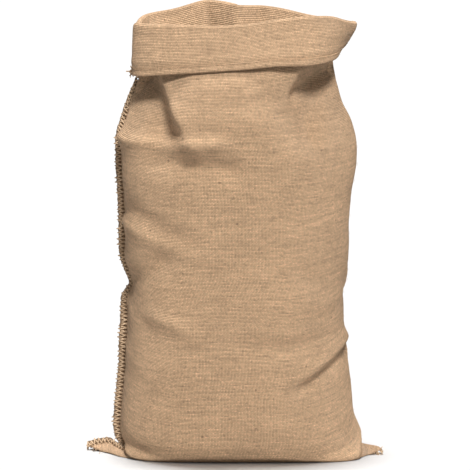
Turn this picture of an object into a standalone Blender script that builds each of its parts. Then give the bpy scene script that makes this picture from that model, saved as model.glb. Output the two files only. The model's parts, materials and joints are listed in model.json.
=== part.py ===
"""A standing burlap sack with its mouth turned down into a cuff, modelled as sewn cloth.

One length of hessian is folded at the right and overcast together down the left side and along the
bottom. Filled out, it stands on its bottom, and the two bottom corners stick out as flat ears.
+X is the sack's right side as it is looked at, +Y its back, +Z up. Tables are in millimetres.
"""

import math
from collections import namedtuple

import bmesh
import bpy
import numpy as np
from mathutils import Vector

MM = 0.001

# Driving sizes, in millimetres.
PANEL_WIDTH = 600.0          # flat width, from the side seam to the folded side
CLOTH_THICKNESS = 2.0
HEM_THICKNESS = 4.4          # the turned hem is two layers and its stitching
HEM_WIDTH = 18.0
CUFF_DEPTH = 96.0
FOLD_RADIUS = 4.5            # inside radius where the mouth turns over into the cuff
SEAM_THICKNESS = 6.0
BOTTOM_SEAM_WIDTH = 17.0
BOTTOM_SEAM_THICKNESS = 4.2
CLEARANCE = 0.3

# How finely the cloth is cut up. Segments run closer together towards the two sides.
SEGMENTS_PER_PANEL = 26
SIDE_CROWDING = 0.45
BODY_COURSES = 38
EAR_COURSES = 92.0           # up to here the courses are spaced as the columns are
FOLD_COURSES = 3
CUFF_COURSES = 5

# One row for each course of the weave that sets the shape, from the bottom seam up to the mouth.
# v is its distance up the cloth. left and right are where it meets the side seam and the folded
# side, front and back how far it swells out there and how high it runs. square is how boxy its
# left and right ends are, 2 being an ellipse, and dip how it falls from the sides to the middle.
Course = namedtuple("Course", "v left right front back square_left square_right dip")
COURSES = [
    Course(0, (-294, 0, 10), (297, -36, 8), (0, 5), (0, 5), 9.0, 9.0, 0.5),
    Course(14, (-289, -1, 19), (291, -32, 16), (-14, 4), (14, 4), 8.0, 8.0, 0.45),
    Course(29, (-271, -4, 20), (277, -25, 17), (-29, 0), (29, 0), 8.0, 8.0, 0.36),
    Course(47, (-253, -8, 18), (265, -17, 16), (-47, 0), (47, 0), 8.0, 8.0, 0.32),
    Course(66, (-236, -15, 14), (257, -11, 15), (-66, 0), (66, 0), 8.0, 8.0, 0.28),
    Course(87, (-226, -11, 19), (250, -8, 19), (-87, 0), (87, 0), 8.0, 8.0, 0.34),
    Course(98, (-225, -7, 28), (254, -6, 25), (-98, 0), (98, 0), 7.5, 7.5, 0.5),
    Course(112, (-229, -3, 42), (255, -4, 38), (-111, 0), (111, 0), 5.2, 5.2, 0.8),
    Course(128, (-231, 0, 57), (250, -2, 53), (-122, 7), (122, 7), 3.6, 3.6, 1.1),
    Course(150, (-230, 0, 79), (241, 0, 74), (-134, 26), (134, 26), 2.8, 2.8, 1.1),
    Course(195, (-226, 0, 122), (236, 0, 118), (-141, 70), (140, 70), 2.8, 2.5, 1.1),
    Course(250, (-220, 0, 173), (232, 0, 171), (-145, 126), (144, 126), 2.8, 2.4, 1.0),
    Course(310, (-218, 0, 226), (224, 0, 228), (-148, 186), (147, 186), 2.9, 2.4, 1.0),
    Course(360, (-216, 0, 272), (219, 0, 276), (-149, 235), (149, 235), 2.9, 2.4, 1.0),
    Course(405, (-217, 0, 312), (218, 0, 318), (-149, 279), (150, 279), 2.9, 2.4, 1.0),
    Course(438, (-205, 0, 343), (224, 0, 348), (-148, 312), (149, 312), 2.8, 2.4, 1.0),
    Course(470, (-212, 0, 370), (227, 0, 376), (-148, 344), (149, 344), 2.8, 2.4, 1.0),
    Course(510, (-220, 0, 408), (227, 0, 412), (-148, 384), (149, 384), 2.8, 2.3, 1.0),
    Course(570, (-220, 0, 466), (226, 0, 468), (-148, 444), (150, 444), 2.8, 2.3, 1.0),
    Course(640, (-222, 0, 533), (231, 0, 534), (-148, 514), (149, 514), 2.8, 2.2, 1.0),
    Course(700, (-225, 0, 592), (241, 0, 590), (-149, 574), (146, 574), 2.8, 2.1, 1.0),
    Course(740, (-225, 0, 630), (240, 0, 628), (-149, 613), (142, 613), 2.6, 2.0, 1.0),
    Course(785, (-217, 0, 674), (231, 0, 672), (-147, 657), (136, 657), 2.5, 1.7, 1.0),
    Course(830, (-204, 0, 719), (211, 0, 716), (-141, 702), (129, 702), 2.4, 1.5, 1.0),
    Course(870, (-191, 0, 757), (200, 0, 756), (-129, 741), (124, 742), 2.4, 1.5, 1.0),
    Course(910, (-187, 0, 794), (194, 0, 794), (-112, 779), (118, 781), 2.5, 1.7, 1.0),
    Course(950, (-187, 0, 830), (198, 0, 830), (-97, 818), (119, 820), 3.4, 2.3, 1.0),
    Course(985, (-189, 0, 858), (204, 0, 858), (-88, 855), (132, 856), 5.0, 2.9, 1.0),
]

# Round the mouth, from the side seam across the front to the folded side and back behind: the
# height of the rim, the height of the hem, how far the hem stands out past the fold, and how far
# the cuff bows between them. round is the share of the way round.
Station = namedtuple("Station", "round rim hem flare bow")
MOUTH = [
    Station(0.00, 851, 766, 1, 1),
    Station(0.06, 870, 767, 4, 2),
    Station(0.12, 870, 774, 17, 2),
    Station(0.20, 868, 780, 22, 1),
    Station(0.27, 870, 785, 23, 0),
    Station(0.33, 879, 791, 24, 1),
    Station(0.39, 885, 792, 21, 3),
    Station(0.44, 882, 798, 2, 8),
    Station(0.475, 871, 808, -16, 6),
    Station(0.50, 865, 816, -27, 5),
    Station(0.53, 864, 806, -14, 3),
    Station(0.61, 868, 792, 6, 4),
    Station(0.68, 883, 790, 10, 4),
    Station(0.73, 888, 792, 10, 3),
    Station(0.79, 897, 790, 12, 3),
    Station(0.86, 879, 780, 10, 3),
    Station(0.91, 869, 772, 6, 2),
    Station(0.95, 853, 769, 4, 2),
    Station(1.00, 851, 766, 1, 1),
]
LEVEL_FROM = 0.93            # a course runs level where it is this share of its full depth out
RIM_LEVEL = 856.0            # the height that the topmost course is given at
RIM_FADE = 150.0             # the rim's unevenness dies out this far below it

# Folds that stand out of the cloth (+) or sink into it (-). Each runs straight from one (x, z) to
# another, as the sack is looked at from that side, is so wide to each side of its line, and rises
# so far. keen is how sharp its crest is: 2 is soft, 1 is a crease.
Fold = namedtuple("Fold", "side start end width rise keen")
FOLDS = [
    Fold("front", (-146, 776), (-108, 690), 20, 16, 1.1),     # ridge under the cuff, left
    Fold("front", (-112, 692), (-80, 636), 24, 12, 1.5),      # and its soft lower end
    Fold("front", (-186, 790), (-138, 660), 36, -30, 2.0),    # flat panel beside the seam
    Fold("front", (-80, 756), (80, 756), 30, 9, 2.0),         # shoulder under the hem
    Fold("front", (-70, 700), (62, 698), 40, 8, 2.0),
    Fold("front", (70, 786), (112, 790), 24, 9, 2.0),         # where the cloth comes up to it
    Fold("front", (-215, 642), (-40, 640), 15, 13, 1.25),       # roll across the left
    Fold("front", (-150, 606), (-10, 590), 22, -12, 1.8),       # and the hollow under it
    Fold("front", (118, 738), (190, 766), 15, -12, 1.4),      # dart under the cuff, right
    Fold("front", (112, 776), (100, 734), 18, 13, 1.5),         # the knob beside it
    Fold("front", (166, 770), (144, 660), 28, -12, 2.0),      # flat panel under the cuff, right
    Fold("front", (120, 726), (152, 652), 16, -6, 1.6),       # hollow below the dart
    Fold("front", (-196, 496), (-92, 442), 22, -9, 1.8),      # long hollow, left
    Fold("front", (-215, 474), (-60, 418), 18, 7, 1.8),       # and the swell under it
    Fold("front", (-200, 366), (-150, 400), 22, -11, 1.8),    # hollow over the pinch
    Fold("front", (-205, 302), (-165, 262), 16, -5, 1.6),     # crease that the pinch throws
    Fold("front", (-156, 304), (-100, 270), 18, 8, 1.8),
    Fold("front", (24, 240), (140, 232), 20, -7, 1.8),
    Fold("front", (232, 212), (146, 158), 13, -12, 1.3),      # slanting crease at the right
    Fold("front", (226, 236), (160, 190), 14, 8, 1.5),
    Fold("front", (126, 246), (194, 254), 12, -4, 1.6),
    Fold("front", (212, 352), (150, 372), 24, -6, 2.0),
    Fold("front", (-207, 46), (-190, 10), 18, -8, 1.8),       # hollow beside the left ear
    Fold("back", (4, 900), (10, 690), 26, -32, 1.3),          # pleat in the back of the mouth
    Fold("back", (-60, 900), (-30, 780), 18, 15, 1.1),        # and the corners beside it
    Fold("back", (48, 900), (52, 760), 18, 12, 1.2),
    Fold("back", (120, 620), (-40, 560), 24, -10, 1.8),
    Fold("back", (-190, 420), (-60, 360), 22, -10, 1.8),
    Fold("back", (200, 300), (90, 240), 22, -9, 1.8),
    Fold("back", (150, 800), (120, 700), 26, 12, 1.5),
]
FOLD_END = 30.0              # a fold dies away over this length past its ends
SIDE_QUIET = 16.0            # no fold is raised this near the side seam

# The folded side sticks out as a fin where the mouth turns over: how far, and how wide.
FIN_REACH = 25.0
FIN_WIDTH = 30.0
FIN_FOOT = 800.0

# The overcast side seam as a row for each place along it: the course that it is at, and which way
# the seam's edge points there.
SeamTurn = namedtuple("SeamTurn", "v points width")
SEAM_TURNS = [
    SeamTurn(0, (-0.75, 0.0, 0.66), 8),
    SeamTurn(10, (-0.35, 0.0, 0.94), 9),
    SeamTurn(40, (-0.15, 0.0, 0.99), 9),
    SeamTurn(60, (-0.35, 0.0, 0.94), 8),
    SeamTurn(76, (-0.62, 0.0, 0.78), 7),
    SeamTurn(88, (-0.80, 0.0, 0.60), 7),
    SeamTurn(104, (-0.99, 0.0, 0.10), 9),
    SeamTurn(130, (-1.0, 0.0, 0.0), 14),
    SeamTurn(390, (-1.0, 0.0, 0.0), 15),
    SeamTurn(438, (-0.6, 0.8, 0.0), 11),
    SeamTurn(480, (-0.9, 0.4, 0.0), 12),
    SeamTurn(540, (-1.0, 0.0, 0.0), 15),
    SeamTurn(720, (-1.0, 0.0, 0.0), 15),
    SeamTurn(780, (-0.75, 0.66, 0.0), 14),
    SeamTurn(850, (-0.5, 0.87, 0.0), 11),
    SeamTurn(868, (-0.4, 0.92, 0.0), 10),
]
SEAM_SECTION = 8

HESSIAN = ("hessian", (0.56, 0.41, 0.26, 1.0), 0.95)
JUTE_THREAD = ("jute_thread", (0.50, 0.35, 0.20, 1.0), 0.9)


def smooth_columns(positions, values, at):
    """Values at the places asked for, on a smooth curve through a table's rows."""
    positions = np.asarray(positions, float)
    values = np.asarray(values, float)
    at = np.atleast_1d(np.asarray(at, float))
    step = np.diff(positions)
    slope = np.diff(values, axis=0) / step[:, None]
    tangent = np.empty_like(values)
    tangent[0], tangent[-1] = slope[0], slope[-1]
    weight = (step[1:] / (step[1:] + step[:-1]))[:, None]
    tangent[1:-1] = slope[:-1] * weight + slope[1:] * (1 - weight)
    turning = slope[:-1] * slope[1:] <= 0
    tangent[1:-1][turning] = 0.0
    row = np.clip(np.searchsorted(positions, at, side="right") - 1, 0, len(step) - 1)
    t = np.clip((at - positions[row]) / step[row], 0, 1)[:, None]
    h = step[row][:, None]
    return (
        values[row] * (1 + 2 * t) * (1 - t) ** 2
        + tangent[row] * h * t * (1 - t) ** 2
        + values[row + 1] * t * t * (3 - 2 * t)
        + tangent[row + 1] * h * t * t * (t - 1)
    )


def course_at(v):
    """One course of the weave at distance v up the cloth, between the table's rows."""
    rows = [[*c.left, *c.right, *c.front, *c.back, *c[5:]] for c in COURSES]
    flat = smooth_columns([c.v for c in COURSES], rows, v)[0]
    return Course(v, flat[0:3], flat[3:6], flat[6:8], flat[8:10], *flat[10:13])


def half_course(course, middle, shares):
    """Points along one panel's share of a course, evenly spaced by shares of its own length."""
    angle = np.linspace(0, math.pi, 721)
    leftward = angle <= math.pi / 2
    square = np.where(leftward, course.square_left, course.square_right)
    across = np.abs(np.cos(angle)) ** (2 / square)
    out = np.sin(angle).clip(0) ** (2 / square)
    centre = (course.left[0] + course.right[0]) / 2
    reach = (course.right[0] - course.left[0]) / 2
    x = centre + np.where(leftward, -1, 1) * across * reach
    ahead = np.clip((x - centre) / reach, 0, 1) ** 3
    behind = np.clip((centre - x) / reach, 0, 1) ** 3
    y = course.right[1] * ahead + course.left[1] * behind + middle[0] * out
    side_height = np.where(leftward, course.left[2], course.right[2])
    z = middle[1] + (side_height - middle[1]) * (1 - out / LEVEL_FROM).clip(0) ** course.dip
    line = np.stack([x, y, z], axis=1)
    along = np.concatenate([[0], np.cumsum(np.linalg.norm(np.diff(line, axis=0), axis=1))])
    wanted = shares * along[-1]
    return np.stack([np.interp(wanted, along, line[:, k]) for k in range(3)], axis=1)


def ring_at(v, shares):
    """A closed course: across the front panel from the seam, then back along the other panel."""
    course = course_at(v)
    front = half_course(course, course.front, shares)
    back = half_course(course, course.back, shares)
    return np.concatenate([front, back[-2:0:-1]])


def side_quiet(shares):
    """0 at the side seam, rising to 1 a little way from it, for every point of a ring."""
    off = np.concatenate([shares, shares[-2:0:-1]]) * PANEL_WIDTH
    return np.clip(off / SIDE_QUIET - 0.4, 0, 1)


def fold_rise(fold, points):
    """How far one fold raises each point."""
    start, end = np.array(fold.start, float), np.array(fold.end, float)
    run = end - start
    length = np.linalg.norm(run)
    run /= length
    seen = points[:, [0, 2]] - start
    along = seen @ run
    off = np.abs(seen @ np.array([-run[1], run[0]]))
    past = np.maximum(0, np.maximum(-along, along - length))
    shape = np.exp(-((off / fold.width) ** fold.keen)) * np.exp(-((past / FOLD_END) ** 2))
    return fold.rise * shape


def plan_normals(ring):
    """Level unit vectors that point out of a closed ring."""
    ahead = np.roll(ring, -1, axis=0) - np.roll(ring, 1, axis=0)
    out = np.stack([-ahead[:, 1], ahead[:, 0], 0 * ahead[:, 0]], axis=1)
    # A ring runs across the front from left to right, so it turns left about +Z.
    return -out / np.maximum(np.linalg.norm(out, axis=1), 1e-9)[:, None]


def mouth_at(shares):
    """Rim height, hem height, flare and bow for every point of a ring."""
    places = np.concatenate([shares / 2, 1 - shares[-2:0:-1] / 2])
    return smooth_columns([s.round for s in MOUTH], [s[1:] for s in MOUTH], places)


def with_folds(ring, shares):
    """The ring with its folds raised and its fin drawn out."""
    out = plan_normals(ring)
    panel = len(shares)
    rise = np.zeros(len(ring))
    for fold in FOLDS:
        mine = slice(0, panel) if fold.side == "front" else slice(panel, None)
        rise[mine] += fold_rise(fold, ring[mine])
    ring = ring + out * (rise * side_quiet(shares))[:, None]
    off = np.abs(np.concatenate([shares, shares[-2:0:-1]]) - 1) * PANEL_WIDTH
    grown = np.clip((ring[:, 2] - FIN_FOOT) / (RIM_LEVEL - FIN_FOOT), 0, 1)
    ring[:, 0] += FIN_REACH * grown * np.exp(-((off / FIN_WIDTH) ** 1.3))
    return ring


def body_ring(v, shares):
    """A ring of the sack's wall, with the rim's unevenness carried a little way down."""
    ring = ring_at(v, shares)
    uneven = mouth_at(shares)[:, 0] - FOLD_RADIUS - RIM_LEVEL
    level = course_at(v).front[1]
    share = np.clip(1 - (RIM_LEVEL - level) / RIM_FADE, 0, 1) ** 1.5
    ring[:, 2] += uneven * share
    return with_folds(ring, shares) if v > COURSES[4].v else ring


def cuff_rings(rim, shares):
    """The rings that turn over at the mouth and hang down outside it, to the hem."""
    out = plan_normals(rim)
    up = np.array([0.0, 0.0, 1.0])
    _, hem, flare, bow = mouth_at(shares).T
    rings = []
    for k in range(1, FOLD_COURSES + 1):
        turn = math.pi * k / (FOLD_COURSES + 1)
        rings.append(
            rim + FOLD_RADIUS * (out * (1 - math.cos(turn)) + up * math.sin(turn))
        )
    top = rim + 2 * FOLD_RADIUS * out
    foot = top + out * flare[:, None]
    foot[:, 2] = hem
    drops = np.append(np.linspace(0, 1 - HEM_WIDTH / CUFF_DEPTH, CUFF_COURSES), 1.0)
    for share in drops:
        swell = out * (bow * math.sin(math.pi * share))[:, None]
        rings.append(top * (1 - share) + foot * share + swell)
    return rings


def course_places():
    """Where the body's rings run: closest together round the bottom, where it turns sharply.

    In the ears they are spaced as the columns are, so that the slanting folds there run
    from corner to corner of the mesh.
    """
    ears = [share * PANEL_WIDTH for share in segment_shares() if share * PANEL_WIDTH < EAR_COURSES]
    lower = [98, 112, 128, 150]
    upper = np.linspace(lower[-1], COURSES[-1].v, BODY_COURSES - len(ears) - len(lower) + 1)[1:]
    return ears + lower + list(upper)


def segment_shares():
    """Shares of a panel's width at which the cloth's columns run."""
    even = np.linspace(0, 1, SEGMENTS_PER_PANEL + 1)
    crowded = (1 - np.cos(math.pi * even)) / 2
    return even * (1 - SIDE_CROWDING) + crowded * SIDE_CROWDING


def cloth_rings():
    """Every ring of the cloth's outside face, from the bottom seam to the hem."""
    shares = segment_shares()
    body = [body_ring(v, shares) for v in course_places()]
    return body + cuff_rings(body[-1], shares)


def material(name, colour, roughness):
    made = bpy.data.materials.new(name)
    made.use_nodes = True
    surface = made.node_tree.nodes["Principled BSDF"]
    surface.inputs["Base Color"].default_value = colour
    surface.inputs["Roughness"].default_value = roughness
    surface.inputs["Metallic"].default_value = 0.0
    return made


def add_object(name, mesh, finish):
    placed = bpy.data.objects.new(name, mesh)
    mesh.materials.append(finish)
    bpy.context.scene.collection.objects.link(placed)
    return placed


def make_cloth(finish):
    """The sack's one piece of cloth: bottom, wall, turned-over mouth and hemmed cuff."""
    rings = cloth_rings()
    form = bmesh.new()
    rows = [[form.verts.new(Vector(p) * MM) for p in ring] for ring in rings]
    for lower, upper in zip(rows, rows[1:]):
        for k in range(len(lower)):
            after = (k + 1) % len(lower)
            form.faces.new((lower[k], lower[after], upper[after], upper[k]))
    bmesh.ops.remove_doubles(form, verts=rows[0], dist=0.00001)
    form.verts.index_update()
    hemmed = [v.index for row in rows[-2:] for v in row]
    mesh = bpy.data.meshes.new("sack_cloth")
    form.to_mesh(mesh)
    form.free()
    cloth = add_object("sack_cloth", mesh, finish)
    thickness = cloth.vertex_groups.new(name="hem")
    thickness.add(hemmed, 1.0, "REPLACE")
    wall = cloth.modifiers.new("cloth thickness", "SOLIDIFY")
    wall.thickness = HEM_THICKNESS * MM
    wall.offset = -1.0
    wall.use_rim = True
    wall.vertex_group = thickness.name
    wall.thickness_vertex_group = CLOTH_THICKNESS / HEM_THICKNESS
    mesh.shade_smooth()
    return cloth


def strip(name, line, widths, points, aside, thickness, finish):
    """A flat oval band that runs along a line, its width standing out the way it points.

    Where it turns back to lie against the cloth, it is moved aside by half its thickness.
    """
    form = bmesh.new()
    rings = []
    for k, place in enumerate(line):
        ahead = line[min(k + 1, len(line) - 1)] - line[max(k - 1, 0)]
        ahead /= np.linalg.norm(ahead)
        out = points[k] - ahead * (points[k] @ ahead)
        out /= np.linalg.norm(out)
        face = np.cross(ahead, out)
        middle = place + out * (widths[k] / 2 * math.cos(math.pi / SEAM_SECTION) + CLEARANCE)
        middle += aside * abs(out[1]) * thickness / 2
        ring = []
        for j in range(SEAM_SECTION):
            turn = 2 * math.pi * (j + 0.5) / SEAM_SECTION
            shift = out * math.cos(turn) * widths[k] / 2 + face * math.sin(turn) * thickness / 2
            ring.append(form.verts.new(Vector(middle + shift) * MM))
        rings.append(ring)
    for lower, upper in zip(rings, rings[1:]):
        for j in range(SEAM_SECTION):
            after = (j + 1) % SEAM_SECTION
            form.faces.new((lower[j], lower[after], upper[after], upper[j]))
    form.faces.new(rings[0])
    form.faces.new(rings[-1])
    bmesh.ops.recalc_face_normals(form, faces=form.faces)
    mesh = bpy.data.meshes.new(name)
    form.to_mesh(mesh)
    form.free()
    mesh.shade_smooth()
    return add_object(name, mesh, finish)


def make_side_seam(finish):
    """The overcast edge down the left side, from the cuff to the ear's tip."""
    places = [v for v in course_places() if v <= SEAM_TURNS[-1].v]
    rows = [[*t.points, t.width] for t in SEAM_TURNS]
    turns = smooth_columns([t.v for t in SEAM_TURNS], rows, places)
    ends = np.array([0.0, 1.0])
    line = np.array([body_ring(v, ends)[0] for v in places])
    aside = np.array([-1.0, 0.0, 0.0])
    return strip("side_seam", line, turns[:, 3], turns[:, :3], aside, SEAM_THICKNESS, finish)


def make_bottom_seam(finish):
    """The overcast edge along the bottom, which lies flat under the sack."""
    shares = np.linspace(0.02, 0.98, 41)
    line = ring_at(0, shares)[: len(shares)]
    line[:, 1] -= BOTTOM_SEAM_WIDTH / 2 + CLEARANCE
    line[:, 2] -= BOTTOM_SEAM_THICKNESS / 2 + CLEARANCE
    level = np.tile([0.0, 1.0, 0.0], (len(line), 1))
    widths = np.full(len(line), BOTTOM_SEAM_WIDTH)
    aside = np.zeros(3)
    return strip("bottom_seam", line, widths, level, aside, BOTTOM_SEAM_THICKNESS, finish)


def clear_scene():
    for old in list(bpy.data.objects):
        bpy.data.objects.remove(old)


def main():
    clear_scene()
    hessian = material(*HESSIAN)
    thread = material(*JUTE_THREAD)
    make_cloth(hessian)
    make_side_seam(thread)
    make_bottom_seam(thread)


main()
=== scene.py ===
"""Finished looks for a standing burlap sack with its mouth turned down into a cuff.

One length of hessian makes the whole bag. Its left side and its bottom are overcast with jute
thread, its hem is turned up and stitched, and loose fibres stand out of the weave. Tables are in
millimetres, everything that Blender is given is in metres. +X is the sack's right side as it is
looked at, +Y its back, +Z up.
"""

import json
import math
from collections import namedtuple

import bmesh
import bpy
import numpy as np
from bpy.props import FloatProperty, FloatVectorProperty, IntProperty, PointerProperty
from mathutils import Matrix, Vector, noise

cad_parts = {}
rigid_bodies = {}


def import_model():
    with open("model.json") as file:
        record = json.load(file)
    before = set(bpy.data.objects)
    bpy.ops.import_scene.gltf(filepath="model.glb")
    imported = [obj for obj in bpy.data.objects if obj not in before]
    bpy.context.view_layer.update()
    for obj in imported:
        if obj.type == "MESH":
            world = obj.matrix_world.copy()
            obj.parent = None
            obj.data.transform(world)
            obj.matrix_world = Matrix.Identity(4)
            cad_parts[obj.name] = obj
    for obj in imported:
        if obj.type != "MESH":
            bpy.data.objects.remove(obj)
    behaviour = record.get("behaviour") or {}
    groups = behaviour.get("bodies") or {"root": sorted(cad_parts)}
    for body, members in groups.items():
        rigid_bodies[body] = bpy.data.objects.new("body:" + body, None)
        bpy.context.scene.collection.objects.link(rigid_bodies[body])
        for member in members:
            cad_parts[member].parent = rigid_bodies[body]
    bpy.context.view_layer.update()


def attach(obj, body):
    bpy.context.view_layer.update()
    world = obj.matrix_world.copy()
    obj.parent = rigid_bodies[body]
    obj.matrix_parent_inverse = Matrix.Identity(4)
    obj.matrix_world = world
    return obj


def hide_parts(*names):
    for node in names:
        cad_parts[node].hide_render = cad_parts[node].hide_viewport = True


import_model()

bl_info = {
    "name": "Burlap Sack",
    "version": (1, 0, 0),
    "blender": (4, 5, 0),
    "location": "3D View > Sidebar > Sack",
    "description": "Makes a standing burlap sack with a turned-down cuff and overcast seams",
    "category": "Add Mesh",
}

MM = 0.001
BODY = "root"

# One row for each course of the weave that sets the shape, from the bottom seam up to the mouth.
# v is its distance up the cloth. left and right are where it meets the side seam and the folded
# side, front and back how far it swells out there and how high it runs. square is how boxy its
# left and right ends are, 2 being an ellipse, and dip how it falls from the sides to the middle.
Course = namedtuple("Course", "v left right front back square_left square_right dip")
COURSES = [
    Course(0, (-294, 0, 7), (297, -36, 8), (0, 5), (0, 5), 9.0, 9.0, 0.5),
    Course(14, (-289, -1, 9), (291, -32, 13), (-14, 4), (14, 4), 8.0, 8.0, 0.8),
    Course(29, (-271, -4, 14), (279, -25, 15), (-29, 0), (29, 0), 8.0, 9.0, 1.1),
    Course(47, (-253, -8, 17), (268, -17, 15), (-47, 0), (47, 0), 8.0, 10.0, 1.2),
    Course(66, (-237, -15, 12), (261, -11, 15), (-66, 0), (66, 0), 7.0, 10.0, 1.2),
    Course(87, (-221, -13, 14), (254, -8, 19), (-87, 0), (87, 0), 6.4, 10.0, 1.1),
    Course(98, (-221, -9, 22), (254, -6, 25), (-98, 0), (98, 0), 5.6, 8.0, 1.0),
    Course(112, (-228, -4, 38), (255, -4, 38), (-112, 1), (112, 1), 4.4, 5.4, 1.0),
    Course(128, (-231, 0, 57), (250, -2, 53), (-125, 7), (125, 7), 3.2, 3.3, 1.0),
    Course(150, (-230, 0, 79), (241, 0, 74), (-134, 26), (134, 26), 2.8, 2.8, 1.1),
    Course(195, (-226, 0, 122), (236, 0, 118), (-141, 70), (140, 70), 2.8, 2.5, 1.1),
    Course(250, (-220, 0, 173), (232, 0, 171), (-145, 126), (144, 126), 2.8, 2.4, 1.0),
    Course(310, (-218, 0, 226), (224, 0, 228), (-148, 186), (147, 186), 2.9, 2.4, 1.0),
    Course(360, (-216, 0, 272), (219, 0, 276), (-149, 235), (149, 235), 2.9, 2.4, 1.0),
    Course(405, (-217, 0, 312), (218, 0, 318), (-149, 279), (150, 279), 2.9, 2.4, 1.0),
    Course(438, (-205, 0, 343), (224, 0, 348), (-148, 312), (149, 312), 2.8, 2.4, 1.0),
    Course(470, (-212, 0, 370), (227, 0, 376), (-148, 344), (149, 344), 2.8, 2.4, 1.0),
    Course(510, (-220, 0, 408), (227, 0, 412), (-148, 384), (149, 384), 2.8, 2.3, 1.0),
    Course(570, (-220, 0, 466), (226, 0, 468), (-148, 444), (150, 444), 2.8, 2.3, 1.0),
    Course(640, (-222, 0, 533), (231, 0, 534), (-148, 514), (149, 514), 2.8, 2.2, 1.0),
    Course(700, (-225, 0, 592), (241, 0, 590), (-149, 574), (146, 574), 2.8, 2.1, 1.0),
    Course(740, (-225, 0, 630), (240, 0, 628), (-149, 613), (142, 613), 2.6, 2.0, 1.0),
    Course(785, (-217, 0, 674), (231, 0, 672), (-147, 657), (136, 657), 2.5, 1.7, 1.0),
    Course(830, (-204, 0, 719), (211, 0, 716), (-141, 702), (129, 702), 2.4, 1.5, 1.0),
    Course(870, (-191, 0, 757), (200, 0, 756), (-129, 741), (124, 742), 2.4, 1.5, 1.0),
    Course(910, (-187, 0, 794), (194, 0, 794), (-112, 779), (118, 781), 2.5, 1.7, 1.0),
    Course(950, (-187, 0, 830), (198, 0, 830), (-97, 818), (119, 820), 3.4, 2.3, 1.0),
    Course(985, (-189, 0, 858), (204, 0, 858), (-88, 855), (132, 856), 5.0, 2.9, 1.0),
]

# Round the mouth, from the side seam across the front to the folded side and back behind: the
# height of the rim, the height of the hem, how far the hem stands out past the fold, and how far
# the cuff bows between them. round is the share of the way round.
Station = namedtuple("Station", "round rim hem flare bow")
MOUTH = [
    Station(0.00, 851, 766, 1, 1),
    Station(0.06, 870, 767, 4, 2),
    Station(0.12, 870, 774, 17, 2),
    Station(0.20, 868, 780, 22, 1),
    Station(0.27, 870, 785, 23, 0),
    Station(0.33, 879, 791, 24, 1),
    Station(0.39, 885, 792, 21, 3),
    Station(0.44, 882, 798, 2, 8),
    Station(0.475, 871, 808, -16, 6),
    Station(0.50, 865, 816, -27, 5),
    Station(0.53, 864, 806, -14, 3),
    Station(0.61, 868, 792, 6, 4),
    Station(0.68, 883, 790, 10, 4),
    Station(0.73, 888, 792, 10, 3),
    Station(0.79, 897, 790, 12, 3),
    Station(0.86, 879, 780, 10, 3),
    Station(0.91, 869, 772, 6, 2),
    Station(0.95, 853, 769, 4, 2),
    Station(1.00, 851, 766, 1, 1),
]
LEVEL_FROM = 0.93            # a course runs level where it is this share of its full depth out
RIM_LEVEL = 856.0            # the height that the topmost course is given at
RIM_FADE = 150.0             # the rim's unevenness dies out this far below it

# Folds that stand out of the cloth (+) or sink into it (-). Each runs straight from one (x, z) to
# another, as the sack is looked at from that side, is so wide to each side of its line, and rises
# so far. keen is how sharp its crest is: 2 is soft, 1 is a crease.
Fold = namedtuple("Fold", "side start end width rise keen")
FOLDS = [
    Fold("front", (-146, 776), (-108, 690), 20, 16, 1.1),     # ridge under the cuff, left
    Fold("front", (-112, 692), (-80, 636), 24, 12, 1.5),      # and its soft lower end
    Fold("front", (-186, 790), (-138, 660), 36, -30, 2.0),    # flat panel beside the seam
    Fold("front", (-80, 756), (80, 756), 30, 9, 2.0),         # shoulder under the hem
    Fold("front", (-70, 700), (62, 698), 40, 8, 2.0),
    Fold("front", (70, 786), (112, 790), 24, 9, 2.0),         # where the cloth comes up to it
    Fold("front", (-215, 642), (-40, 640), 15, 13, 1.25),     # roll across the left
    Fold("front", (-150, 606), (-10, 590), 22, -12, 1.8),     # and the hollow under it
    Fold("front", (118, 738), (190, 766), 15, -12, 1.4),      # dart under the cuff, right
    Fold("front", (112, 776), (100, 734), 18, 13, 1.5),       # the knob beside it
    Fold("front", (166, 770), (144, 660), 28, -12, 2.0),      # flat panel under the cuff, right
    Fold("front", (120, 726), (152, 652), 16, -6, 1.6),       # hollow below the dart
    Fold("front", (-196, 496), (-92, 442), 22, -9, 1.8),      # long hollow, left
    Fold("front", (-215, 474), (-60, 418), 18, 7, 1.8),       # and the swell under it
    Fold("front", (-200, 366), (-150, 400), 22, -11, 1.8),    # hollow over the pinch
    Fold("front", (-205, 302), (-165, 262), 16, -5, 1.6),     # crease that the pinch throws
    Fold("front", (-156, 304), (-100, 270), 18, 8, 1.8),
    Fold("front", (24, 240), (140, 232), 20, -7, 1.8),
    Fold("front", (232, 212), (146, 158), 13, -12, 1.3),      # slanting crease at the right
    Fold("front", (226, 236), (160, 190), 14, 8, 1.5),
    Fold("front", (126, 246), (194, 254), 12, -4, 1.6),
    Fold("front", (212, 352), (150, 372), 24, -6, 2.0),
    Fold("front", (-222, 24), (-192, 18), 11, -7, 1.5),       # hollow beside the left ear
    Fold("back", (4, 900), (10, 690), 26, -32, 1.3),          # pleat in the back of the mouth
    Fold("back", (-60, 900), (-30, 780), 18, 15, 1.1),        # and the corners beside it
    Fold("back", (48, 900), (52, 760), 18, 12, 1.2),
    Fold("back", (120, 620), (-40, 560), 24, -10, 1.8),
    Fold("back", (-190, 420), (-60, 360), 22, -10, 1.8),
    Fold("back", (200, 300), (90, 240), 22, -9, 1.8),
    Fold("back", (150, 800), (120, 700), 26, 12, 1.5),
]
FOLD_END = 30.0              # a fold dies away over this length past its ends
SIDE_QUIET = 16.0            # no fold is raised this near the side seam
FOLDS_FROM = 66.0            # and none in the ears, below this course

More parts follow.
